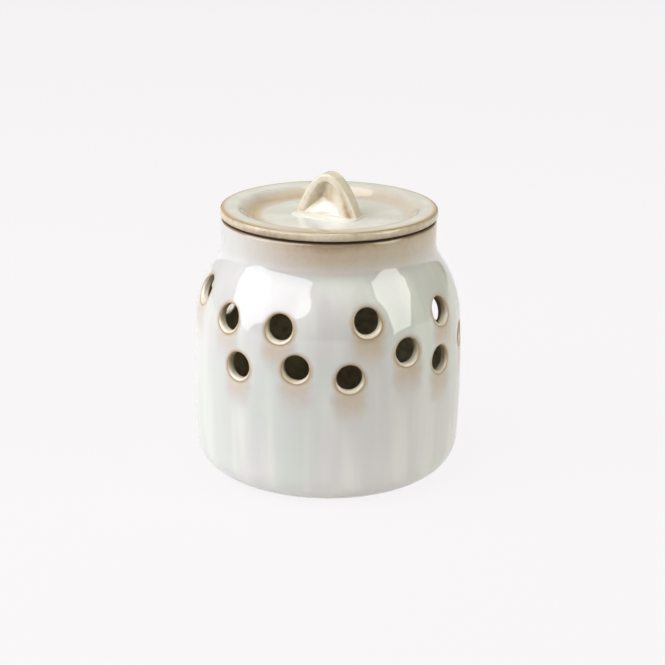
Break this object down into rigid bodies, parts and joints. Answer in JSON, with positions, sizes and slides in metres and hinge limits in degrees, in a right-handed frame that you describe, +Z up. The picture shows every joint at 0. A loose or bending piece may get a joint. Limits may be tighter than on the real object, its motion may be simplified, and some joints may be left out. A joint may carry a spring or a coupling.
{
  "type": "garlic keeper",
  "caption": "Round glazed stoneware keeper for garlic: a wide jar with punched air vents around its shoulder and a drop-in lid lifted by a pinched arch handle.",
  "frame": {"origin": "centre of the jar's round foot, on the surface it stands on", "axes": "+Z up along the jar's axis, front towards -Y, +X to the right as seen from the front; the handle runs 26.5 degrees clockwise of +X as seen from above"},
  "size_m": [0.1208, 0.1208, 0.1338],
  "materials": {
    "jar_glaze": "glossy milky blue-white reactive glaze, breaking to tan at the lip and around the vents",
    "lid_glaze": "glossy cream-grey glaze, breaking to tan on the edges and in the well",
    "handle_glaze": "glossy cream glaze, thin and warm over the pinched edges"
  },
  "bodies": {
    "jar": {"vented_jar": "jar_glaze"},
    "lid": {"lid": "lid_glaze", "lid_handle": "handle_glaze"}
  },
  "joints": [
    {"name": "lid_lift", "type": "slide", "parent": "jar", "child": "lid", "axis": [0, 0, 1], "range_m": [0, 0.08]}
  ]
}
